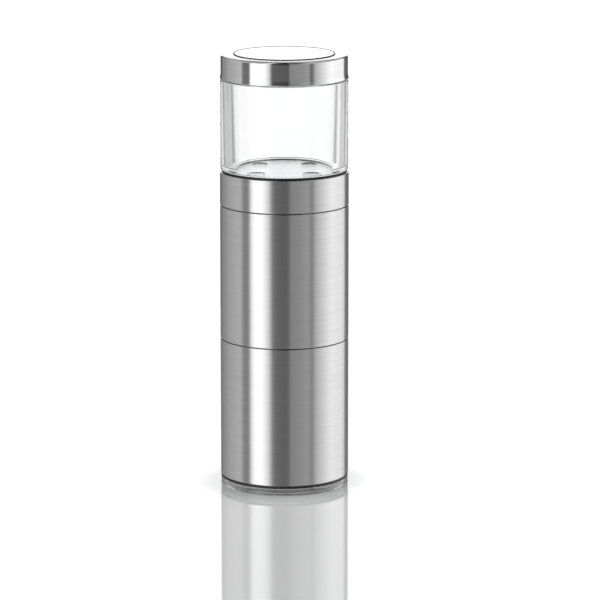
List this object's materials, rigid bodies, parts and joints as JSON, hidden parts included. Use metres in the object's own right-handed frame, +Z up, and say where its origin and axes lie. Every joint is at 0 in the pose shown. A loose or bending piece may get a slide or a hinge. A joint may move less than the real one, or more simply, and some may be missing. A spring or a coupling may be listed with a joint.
{
  "type": "nutmeg mill",
  "caption": "Hand mill with a split steel barrel that twists, a slotted blade disc in its foot, a sprung plunger, a clear storage jar with a steel lid and a clear base cap.",
  "frame": {"origin": "centre of the base cap's underside, where the mill stands on its foot ring", "axes": "+Z up along the mill's axis, from the base cap to the lid; +X along the blade's slot, towards its scalloped edge; -Y faces the camera"},
  "size_m": [0.0452, 0.0452, 0.1524],
  "materials": {
    "brushed_steel": "satin steel, brushed round the axis",
    "blade_steel": "bright steel",
    "clear_acrylic": "clear and glossy",
    "black_plastic": "black, satin moulded",
    "pale_plastic": "off-white, satin moulded",
    "black_rubber": "matt"
  },
  "bodies": {
    "base": {"base_cap": "clear_acrylic"},
    "grinder": {"lower_sleeve": "brushed_steel", "outlet_liner": "black_plastic", "blade_disc": "blade_steel", "blade_retaining_ring": "black_plastic", "bearing_ring": "pale_plastic"},
    "barrel": {"middle_sleeve": "brushed_steel", "nut_chamber": "black_plastic"},
    "head": {"collar": "brushed_steel", "jar_carrier": "black_plastic", "carrier_plate": "blade_steel", "guide_tube": "pale_plastic", "carrier_screw_1": "blade_steel", "carrier_screw_2": "blade_steel", "carrier_screw_3": "blade_steel", "carrier_screw_4": "blade_steel", "jar": "clear_acrylic", "pressure_spring": "blade_steel"},
    "pusher": {"plunger": "pale_plastic", "claw_plate": "blade_steel", "claw_screw": "blade_steel"},
    "lid": {"lid_shell": "brushed_steel", "lid_inlay": "blade_steel", "lid_insert": "black_plastic", "lid_seal": "black_rubber"}
  },
  "joints": [
    {"name": "cap_pull", "type": "slide", "parent": "base", "child": "grinder", "axis": [0, 0, 1], "range_m": [0, 0.02]},
    {"name": "mill_turn", "type": "hinge", "parent": "grinder", "child": "barrel", "pos_m": [0, 0, 0.0523], "axis": [0, 0, 1], "continuous": true},
    {"name": "head_lift", "type": "slide", "parent": "barrel", "child": "head", "axis": [0, 0, 1], "range_m": [0, 0.085]},
    {"name": "plunger_slide", "type": "slide", "parent": "head", "child": "pusher", "axis": [0, 0, 1], "range_m": [0, 0.028], "stiffness_N_per_m": 410, "springref_m": -0.01, "deforming": ["pressure_spring"]},
    {"name": "lid_lift", "type": "slide", "parent": "head", "child": "lid", "axis": [0, 0, 1], "range_m": [0, 0.02]}
  ]
}
